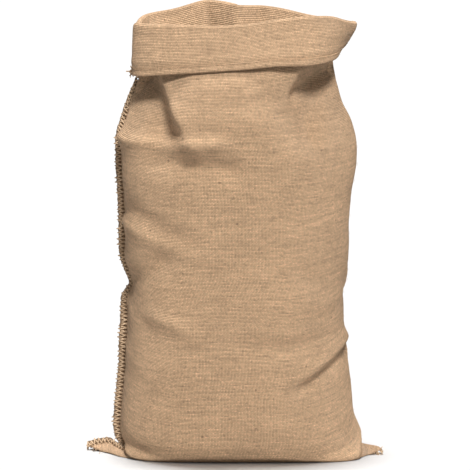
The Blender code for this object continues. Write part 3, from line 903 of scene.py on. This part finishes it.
def spaced(points, values, step):
    """Points at even steps along a line, with the values that go with them."""
    along = length_along(points)
    count = max(2, round(along[-1] / step))
    wanted = np.linspace(0, along[-1], count + 1)
    return at_lengths(points, along, wanted), at_lengths(values, along, wanted)


def run_frame(points, out):
    """Unit vectors out of a run and to its face, for each of its points."""
    ahead = unit(np.gradient(points, axis=0))
    out = unit(out - ahead * np.sum(out * ahead, axis=1)[:, None])
    return out, np.cross(ahead, out)


def side_seam_run(cloth):
    """The overcast edge's middle line, from the ear's tip up to under the cuff."""
    places = np.linspace(0, SEAM_TURNS[-1].v, SEAM_POINTS)
    ends = np.array([0.0, 1.0])
    line = np.array([body_ring(v, ends, cloth)[0] for v in places])
    rows = [[*t.points, t.width] for t in SEAM_TURNS]
    turns = smooth_columns([t.v for t in SEAM_TURNS], rows, places)
    line, turns = spaced(line, np.column_stack([turns, places]), SEAM_STEP)
    out, _ = run_frame(line, turns[:, :3])
    width, spaced_places = turns[:, 3], turns[:, 4]
    middle = line + out * (width / 2 - SEAM_SINKS)[:, None]
    middle[:, 0] -= np.abs(out[:, 1]) * SEAM_LEANS_BACK
    sag = np.exp(-(((spaced_places - SEAM_DIP_AT) / SEAM_DIP_LENGTH) ** 2))
    middle += sag[:, None] * np.array(SEAM_DIP)
    return Run(middle, out, width + SEAM_SINKS)


def bottom_seam_run(sizes):
    """The bottom's overcast edge, which lies flat under the sack."""
    shares = np.linspace(*BOTTOM_SEAM, BOTTOM_POINTS)
    line = ring_at(0, shares)[: len(shares)]
    line[:, 1] -= sizes.bottom_width / MM / 2
    line[:, 2] -= sizes.bottom_thickness / MM / 2 + BOTTOM_GAP
    out = np.tile([0.0, 1.0, 0.0], (len(line), 1))
    line, out = spaced(line, out, SEAM_STEP)
    out, _ = run_frame(line, out)
    return Run(line, out, np.full(len(line), sizes.bottom_width / MM))


def hem_run(cloth):
    """The line of the hem's stitches, round the outside of the cuff."""
    grid, _, _ = cloth_grid(cloth)
    below, above = grid[-2], grid[-1]
    line = below * (1 - HEM_LINE) + above * HEM_LINE
    level = plan_normals(line)
    line = np.vstack([line, line[:1]])
    values = np.hstack([level, unit(above - below)])
    values = np.vstack([values, values[:1]])
    line, values = spaced(line, values, HEM_STEP)
    out, up = values[:, :3], values[:, 3:]
    return Run(line + out * HEM_STITCH_LIFT, up, np.full(len(line), HEM_STITCH_WIDTH))


def rolled_edge(name, run, thickness):
    """The two cloth edges that the thread holds together: an oval band, scalloped by it."""
    out, face = run_frame(run.points, run.out)
    half = thickness / MM / 2 * run.width / np.median(run.width)
    form = bmesh.new()
    flat = form.loops.layers.uv.new("cloth")
    rows = []
    along = length_along(run.points)
    for k, middle in enumerate(run.points):
        scallop = 1 + 0.07 * math.sin(along[k] * 0.7) + 0.05 * math.sin(along[k] * 0.31 + 1)
        shut = 0.25 if k in (0, len(run.points) - 1) else 1.0
        row = []
        for j in range(EDGE_SIDES):
            turn = 2 * math.pi * (j + 0.5) / EDGE_SIDES
            reach = math.copysign(abs(math.cos(turn)) ** 0.8, math.cos(turn))
            lift = math.copysign(abs(math.sin(turn)) ** 0.8, math.sin(turn))
            shift = out[k] * reach * run.width[k] / 2 * scallop + face[k] * lift * half[k]
            row.append(form.verts.new(Vector(middle + shift * shut) * MM))
        rows.append(row)
    for made, k, j in tube_faces(form, rows):
        places = ((j, k), (j + 1, k), (j + 1, k + 1), (j, k + 1))
        for loop, (side, row) in zip(made.loops, places):
            loop[flat].uv = (side * EDGE_WEAVE, along[row] * MM)
    return loose_mesh(name + "_edge", form)


def thread_tube(form, line, radius, sides):
    """A round thread through a few points, closed at both ends."""
    ahead = unit(np.gradient(line, axis=0))
    rows = []
    over = np.array([0.0, 1.0, 0.0]) if abs(ahead[0][1]) < 0.9 else np.array([0.0, 0.0, 1.0])
    for point, way in zip(line, ahead):
        over = unit(over - way * (over @ way))
        beside = np.cross(way, over)
        turns = [2 * math.pi * j / sides for j in range(sides)]
        ring = [point + radius * (over * math.cos(t) + beside * math.sin(t)) for t in turns]
        rows.append([form.verts.new(corner) for corner in ring])
    tube_faces(form, rows)


def overcast_stitch(name, pitch, run, core, strand):
    """One stitch: two strands that cross the seam's edge and go into the cloth on both faces.

    Its width is 1, because each stitch is drawn out to the seam's width where it is laid.
    """
    form = bmesh.new()
    lift = core / 2 + strand * 0.32
    width = float(np.median(run.width)) * MM
    near = [(0.98, core * 0.2, -0.58), (0.68, lift, -0.34), (0.28, lift, 0.14)]
    for way in (-1, 1):
        line = [(way * pitch * x, y, z) for x, y, z in near]
        line.append((0, core * 0.18, 0.54))
        line += [(-way * pitch * x, -y, z) for x, y, z in reversed(near)]
        thread_tube(form, np.array(line) * (1, 1, width), strand / 2, THREAD_SIDES)
    for vert in form.verts:
        vert.co.z /= width
    return loose_mesh(name + "_stitch", form)


def hem_stitch(pitch, strand):
    """One stitch of the hem: it comes up, lies along the cloth and goes down again."""
    form = bmesh.new()
    line = [
        (-pitch * 0.50, -strand * 0.7, 0),
        (-pitch * 0.34, strand * 0.35, 0.04 * pitch),
        (0, strand * 0.5, 0),
        (pitch * 0.34, strand * 0.35, -0.04 * pitch),
        (pitch * 0.50, -strand * 0.7, 0),
    ]
    thread_tube(form, np.array(line), strand / 2, THREAD_SIDES)
    return loose_mesh("hem_stitch", form)


def attribute(tree, name, kind):
    """A named attribute's values."""
    node = place(tree, "GeometryNodeInputNamedAttribute", {"Name": name}, data_type=kind)
    return node.outputs["Attribute"]


def chance_between(tree, low, high, seed):
    """A random number between two others, another one for each point."""
    fill = {2: low, 3: high, "Seed": seed}
    return place(tree, "FunctionNodeRandomValue", fill, data_type="FLOAT").outputs[1]


def turned_by_chance(tree, rotation, low, high, seed):
    """A rotation, turned further by angles between low and high."""
    fill = {"Min": low, "Max": high, "Seed": seed}
    angles = place(tree, "FunctionNodeRandomValue", fill, data_type="FLOAT_VECTOR")
    wobble = place(tree, "FunctionNodeEulerToRotation", {0: angles.outputs[0]})
    fill = {0: rotation, 1: wobble.outputs[0]}
    return place(tree, "FunctionNodeRotateRotation", fill, rotation_space="LOCAL").outputs[0]


def copies_of_thread(tree, entry, leave, points, turn, size):
    """Puts a copy of the pattern on each point, and makes them one mesh of thread."""
    fill = {"Object": entry.outputs["Pattern"]}
    shape = place(tree, "GeometryNodeObjectInfo", fill, transform_space="ORIGINAL")
    shape = shape.outputs["Geometry"]
    fill = {"Points": points, "Instance": shape, "Rotation": turn, "Scale": size}
    laid = place(tree, "GeometryNodeInstanceOnPoints", fill)
    real = place(tree, "GeometryNodeRealizeInstances", {0: laid.outputs[0]})
    fill = {"Geometry": real.outputs[0], "Material": entry.outputs["Thread"]}
    dressed = place(tree, "GeometryNodeSetMaterial", fill)
    tree.links.new(dressed.outputs[0], leave.inputs[0])


def stitch_tree(name):
    """Geometry nodes that lay one stitch after another along a line."""
    tree, entry, leave = new_group(
        name,
        "Geometry",
        [
            ("Line", "Geometry"),
            ("Pattern", "Object"),
            ("Pitch", "Float"),
            ("Unevenness", "Float"),
            ("Seed", "Int"),
            ("Thread", "Material"),
        ],
        [("Stitches", "Geometry")],
    )
    curve = place(tree, "GeometryNodeMeshToCurve", {"Mesh": entry.outputs["Line"]})
    fill = {"Curve": curve.outputs[0], "Length": entry.outputs["Pitch"]}
    even = place(tree, "GeometryNodeResampleCurve", fill, mode="LENGTH")
    along = tree.nodes.new("GeometryNodeInputTangent")
    turn = place(
        tree,
        "FunctionNodeAxesToRotation",
        {0: along.outputs[0], 1: attribute(tree, "out", "FLOAT_VECTOR")},
        primary_axis="X",
        secondary_axis="Z",
    ).outputs[0]
    uneven, seed = entry.outputs["Unevenness"], entry.outputs["Seed"]
    sway = calc(tree, "MULTIPLY", uneven, -1.0)
    low, high = join_xyz(tree, sway, sway, sway), join_xyz(tree, uneven, uneven, uneven)
    turn = turned_by_chance(tree, turn, low, high, seed)
    stretch = chance_between(
        tree,
        calc(tree, "SUBTRACT", 1.0, uneven),
        calc(tree, "ADD", 1.0, uneven),
        calc(tree, "ADD", seed, 7),
    )
    width = calc(tree, "MULTIPLY", attribute(tree, "width", "FLOAT"), stretch)
    size = join_xyz(tree, 1.0, attribute(tree, "depth", "FLOAT"), width)
    copies_of_thread(tree, entry, leave, even.outputs[0], turn, size)
    return tree


def fibre_tree(name):
    """Geometry nodes that stand short fibres about on a cloth."""
    tree, entry, leave = new_group(
        name,
        "Geometry",
        [
            ("Cloth", "Geometry"),
            ("Pattern", "Object"),
            ("Density", "Float"),
            ("Seed", "Int"),
            ("Thread", "Material"),
        ],
        [("Fibres", "Geometry")],
    )
    seed = entry.outputs["Seed"]
    fill = {"Mesh": entry.outputs["Cloth"], "Density": entry.outputs["Density"], "Seed": seed}
    spread = place(tree, "GeometryNodeDistributePointsOnFaces", fill)
    low, high = (-FIBRE_LEAN, -FIBRE_LEAN, 0.0), (FIBRE_LEAN, FIBRE_LEAN, 2 * math.pi)
    turn = turned_by_chance(tree, spread.outputs["Rotation"], low, high, seed)
    size = chance_between(tree, *FIBRE_SIZES, calc(tree, "ADD", seed, 3))
    copies_of_thread(tree, entry, leave, spread.outputs["Points"], turn, size)
    return tree


def set_input(modifier, label, value):
    """Sets a node modifier's input, found by its name."""
    for socket in modifier.node_group.interface.items_tree:
        if socket.name == label and getattr(socket, "in_out", "") == "INPUT":
            modifier[socket.identifier] = value
            return
    raise RuntimeError(f"the nodes have no input called {label}")


def put(name, content):
    """A new object in the scene."""
    made = bpy.data.objects.new(name, content)
    bpy.context.scene.collection.objects.link(made)
    return made


def lay_pattern(piece, build, label, pattern, values):
    """Lays a pattern over a piece with one of the node trees, and keeps a plain mesh of it."""
    shape = put(piece.name + "_pattern", pattern)
    laid = piece.modifiers.new(label, "NODES")
    laid.node_group = shared_group(label, build)
    for name, value in {"Pattern": shape, **values}.items():
        set_input(laid, name, value)
    settle_modifiers(piece)
    bpy.data.objects.remove(shape)


def lay_stitches(name, run, stitch, pitch, seed, uneven, thread):
    """A piece made of one stitch laid again and again along a run."""
    mesh = bpy.data.meshes.new(name)
    places = [tuple(p * MM) for p in run.points]
    mesh.from_pydata(places, [(k, k + 1) for k in range(len(places) - 1)], [])
    width = np.asarray(run.width, float)
    for label, kind, field, column in (
        ("out", "FLOAT_VECTOR", "vector", np.asarray(run.out, float).ravel()),
        ("width", "FLOAT", "value", width * MM),
        ("depth", "FLOAT", "value", width / np.median(width)),
    ):
        mesh.attributes.new(label, kind, "POINT").data.foreach_set(field, column)
    piece = put(name, mesh)
    values = {"Pitch": pitch, "Unevenness": uneven, "Seed": seed, "Thread": thread}
    lay_pattern(piece, stitch_tree, "stitches along a line", stitch, values)
    return piece


def loose_ends_mesh(ends, seed):
    """Every bunch of loose ends: strands that curl away from where the bunch starts."""
    chance = np.random.default_rng(seed)
    form = bmesh.new()
    steps = np.linspace(0, 1, 7)[:, None]
    for end in ends:
        for _ in range(end.count):
            way = unit(np.array(end.toward, float) + chance.normal(0, end.stray, 3))
            curl = chance.normal(0, 0.3, 3)
            reach = end.length * chance.uniform(0.5, 1.0)
            start = np.array(end.at, float) + chance.normal(0, end.thick * 0.7, 3)
            line = start + reach * (way * steps + curl * steps**2)
            line[:, 2] = np.maximum(line[:, 2], end.thick / 2 + 0.3)
            thread_tube(form, line * MM, end.thick / 2 * MM, THREAD_SIDES)
    return loose_mesh("loose_ends", form)


def fibre_mesh(reach, thickness):
    """One loose fibre: it comes out of the cloth leaning over, and curls back towards it."""
    form = bmesh.new()
    line = np.array([(0, 0, -0.08), (0.22, 0.02, 0.14), (0.6, 0.08, 0.22), (1.0, 0.0, 0.12)])
    thread_tube(form, line * reach, thickness / 2, FIBRE_SIDES)
    return loose_mesh("fibre", form)


def add_piece(name, mesh, finish):
    """A new piece with its material."""
    mesh.materials.append(finish)
    return put(name, mesh)


def declare(piece, slot, *nodes):
    """Puts the piece on the body that it rides on, and hides the plain solids that it stands for.
    Its slot is not used.
    """
    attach(piece, BODY)
    if nodes:
        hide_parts(*nodes)


def settle_modifiers(piece):
    """Turns a piece and its modifiers into a plain mesh."""
    seen = piece.evaluated_get(bpy.context.evaluated_depsgraph_get())
    mesh = bpy.data.meshes.new_from_object(seen)
    piece.modifiers.clear()
    old = piece.data
    piece.data = mesh
    mesh.name = piece.name
    bpy.data.meshes.remove(old)


class MakeSackCloth(bpy.types.Operator):
    """Makes the hessian: bottom, wall, turned-over mouth, cuff and hem."""

    bl_idname = "sack.make_cloth"
    bl_label = "Hessian Cloth"

    def execute(self, context):
        sizes = context.scene.sack_cloth
        mesh = make_cloth_mesh(sizes)
        piece = add_piece("hessian_cloth", mesh, hessian_material(sizes))
        wall = piece.modifiers.new("cloth thickness", "SOLIDIFY")
        wall.thickness = sizes.thickness
        wall.offset = -1.0
        wall.use_rim = True
        declare(piece, "hessian", "sack_cloth")
        return {"FINISHED"}


class MakeSackSeams(bpy.types.Operator):
    """Makes the overcast edges: down the left side, and flat along the bottom."""

    bl_idname = "sack.make_seams"
    bl_label = "Overcast Seams"

    def execute(self, context):
        cloth, sizes = context.scene.sack_cloth, context.scene.sack_seams
        # the overcast edges get the hessian at half brightness: painted shade, as though they lay
        # in shadow
        shaded_edge_hessian = hessian_material(cloth, "rolled_edge", 0.5)
        thread = thread_material(sizes)
        side = side_seam_run(cloth)
        bottom = bottom_seam_run(sizes)
        for name, run, thick, strand, uneven in (
            ("side_seam", side, sizes.thickness, sizes.thread, 0.2),
            ("bottom_seam", bottom, sizes.bottom_thickness, sizes.thread * 0.56, 0.05),
        ):
            core = thick - strand
            edge = add_piece(name + "_edge", rolled_edge(name, run, core), shaded_edge_hessian)
            declare(edge, "hessian", name)
            stitch = overcast_stitch(name, sizes.pitch, run, core, strand)
            name += "_thread"
            laid = lay_stitches(name, run, stitch, sizes.pitch, sizes.seed, uneven, thread)
            declare(laid, "jute_thread")
        return {"FINISHED"}


class MakeSackHemStitches(bpy.types.Operator):
    """Makes the row of stitches that holds the hem."""

    bl_idname = "sack.make_hem_stitches"
    bl_label = "Hem Stitches"

    def execute(self, context):
        cloth, sizes = context.scene.sack_cloth, context.scene.sack_seams
        run = hem_run(cloth)
        stitch = hem_stitch(sizes.hem_pitch, sizes.hem_thread)
        pitch, seed, thread = sizes.hem_pitch, sizes.seed + 1, thread_material(sizes)
        laid = lay_stitches("hem_thread", run, stitch, pitch, seed, 0.1, thread)
        declare(laid, "jute_thread")
        return {"FINISHED"}


class MakeSackFibres(bpy.types.Operator):
    """Makes the loose ends of yarn, and the fibres that stand out of the cloth."""

    bl_idname = "sack.make_fibres"
    bl_label = "Loose Fibres"

    def execute(self, context):
        sizes = context.scene.sack_fibres
        cloth = context.scene.objects.get("hessian_cloth")
        if cloth is None:
            raise RuntimeError("make the cloth first, because the fibres stand on it")
        thread = thread_material(context.scene.sack_seams)
        ends = add_piece("loose_ends", loose_ends_mesh(LOOSE_ENDS, sizes.seed), thread)
        declare(ends, "jute_thread")
        fibres = put("loose_fibres", cloth.data.copy())
        fibre = fibre_mesh(sizes.fibre_length, sizes.fibre_thickness)
        values = {"Density": float(sizes.count), "Seed": sizes.seed, "Thread": thread}
        lay_pattern(fibres, fibre_tree, "fibres on a cloth", fibre, values)
        declare(fibres, "jute_thread")
        return {"FINISHED"}


class MakeSackStage(bpy.types.Operator):
    """Makes the pale floor, the soft light and the camera."""

    bl_idname = "sack.make_stage"
    bl_label = "Pale Stage"

    def execute(self, context):
        sizes = context.scene.sack_stage
        scene = context.scene
        self.make_floor(sizes)
        self.light_room(scene, sizes)
        for sun in SUNS:
            lamp = bpy.data.lights.new(sun.name + "_light", "SUN")
            lamp.energy = getattr(sizes, sun.name)
            lamp.angle = math.radians(sun.spread)
            holder = put(lamp.name, lamp)
            holder.rotation_euler = Vector(sun.toward).to_track_quat("-Z", "Y").to_euler()
            if sun.passes_floor:
                holder.light_linking.receiver_collection = self.pieces_only(scene)
        lens = bpy.data.cameras.new("camera")
        lens.lens = sizes.lens
        lens.sensor_width = 36.0
        lens.clip_end = 100
        eye = put("camera", lens)
        lift, back = sizes.elevation, sizes.camera_distance
        eye.location = (0, -back * math.cos(lift), sizes.aim_height + back * math.sin(lift))
        eye.rotation_euler = (math.pi / 2 - lift, 0, 0)
        scene.camera = eye
        scene.view_settings.view_transform = "Standard"
        return {"FINISHED"}

    def pieces_only(self, scene):
        """The sack's pieces, so that the light from the front can pass the floor by."""
        pieces = bpy.data.collections.new("sack_pieces")
        for piece in scene.collection.objects:
            if piece.type == "MESH" and piece.name != "floor":
                pieces.objects.link(piece)
        return pieces

    def make_floor(self, sizes):
        """A round pale floor that gives back less light than it shows."""
        form = bmesh.new()
        bmesh.ops.create_circle(form, cap_ends=True, radius=FLOOR_RADIUS, segments=96)
        paint, tree, surface = new_material("pale_floor", 0.0)
        there = place(tree, "ShaderNodeTexCoord").outputs["Object"]
        mottle = calc(tree, "MULTIPLY_ADD", patchiness(tree, there, 3.0), 0.02, 0.99)
        pale = blend_colours(tree, 1.0, (*sizes.floor, 1.0), grey(tree, mottle), "MULTIPLY")
        seen = place(tree, "ShaderNodeLightPath").outputs["Is Camera Ray"]
        dim = (sizes.bounce, sizes.bounce, sizes.bounce, 1.0)
        pale = blend_colours(tree, seen, dim, pale)
        tree.links.new(pale, surface.inputs["Base Color"])
        surface.inputs["Roughness"].default_value = 0.9
        floor = add_piece("floor", plain_mesh("floor", form), paint)

    def light_room(self, scene, sizes):
        """An even white room that is seen brighter than it shines."""
        room = bpy.data.worlds.new("white_room")
        scene.world = room
        room.use_nodes = True
        tree = room.node_tree
        shine = tree.nodes["Background"]
        shine.inputs["Color"].default_value = (1, 1, 1, 1)
        seen = place(tree, "ShaderNodeLightPath").outputs["Is Camera Ray"]
        strength = calc(tree, "MULTIPLY_ADD", seen, ROOM_SEEN - sizes.ambient, sizes.ambient)
        tree.links.new(strength, shine.inputs["Strength"])


class SACK_PT_sidebar(bpy.types.Panel):
    """Lists the sack's pieces and sizes."""

    bl_label = "Burlap Sack"
    bl_idname = "SACK_PT_sidebar"
    bl_space_type = "VIEW_3D"
    bl_region_type = "UI"
    bl_category = "Sack"

    def draw(self, context):
        layout = self.layout
        for name, settings, _, operators in STEPS:
            box = layout.box()
            box.label(text=name)
            group = getattr(context.scene, settings)
            for key in group.__annotations__:
                box.prop(group, key)
            for operator in operators:
                box.operator(operator.bl_idname)


# One row for each box of the panel, in the order that the pieces are made.
STEPS = [
    ("Cloth", "sack_cloth", SackClothSettings, (MakeSackCloth,)),
    ("Seams", "sack_seams", SackSeamSettings, (MakeSackSeams, MakeSackHemStitches)),
    ("Fibres", "sack_fibres", SackFibreSettings, (MakeSackFibres,)),
    ("Stage", "sack_stage", SackStageSettings, (MakeSackStage,)),
]


def register():
    for _, name, group, operators in STEPS:
        bpy.utils.register_class(group)
        setattr(bpy.types.Scene, name, PointerProperty(type=group))
        for operator in operators:
            bpy.utils.register_class(operator)
    bpy.utils.register_class(SACK_PT_sidebar)


def unregister():
    bpy.utils.unregister_class(SACK_PT_sidebar)
    for _, name, group, operators in reversed(STEPS):
        for operator in reversed(operators):
            bpy.utils.unregister_class(operator)
        delattr(bpy.types.Scene, name)
        bpy.utils.unregister_class(group)


def main():
    register()
    bpy.ops.sack.make_cloth()
    bpy.ops.sack.make_seams()
    bpy.ops.sack.make_hem_stitches()
    bpy.ops.sack.make_fibres()
    bpy.ops.sack.make_stage()


if __name__ == "__main__":
    main()
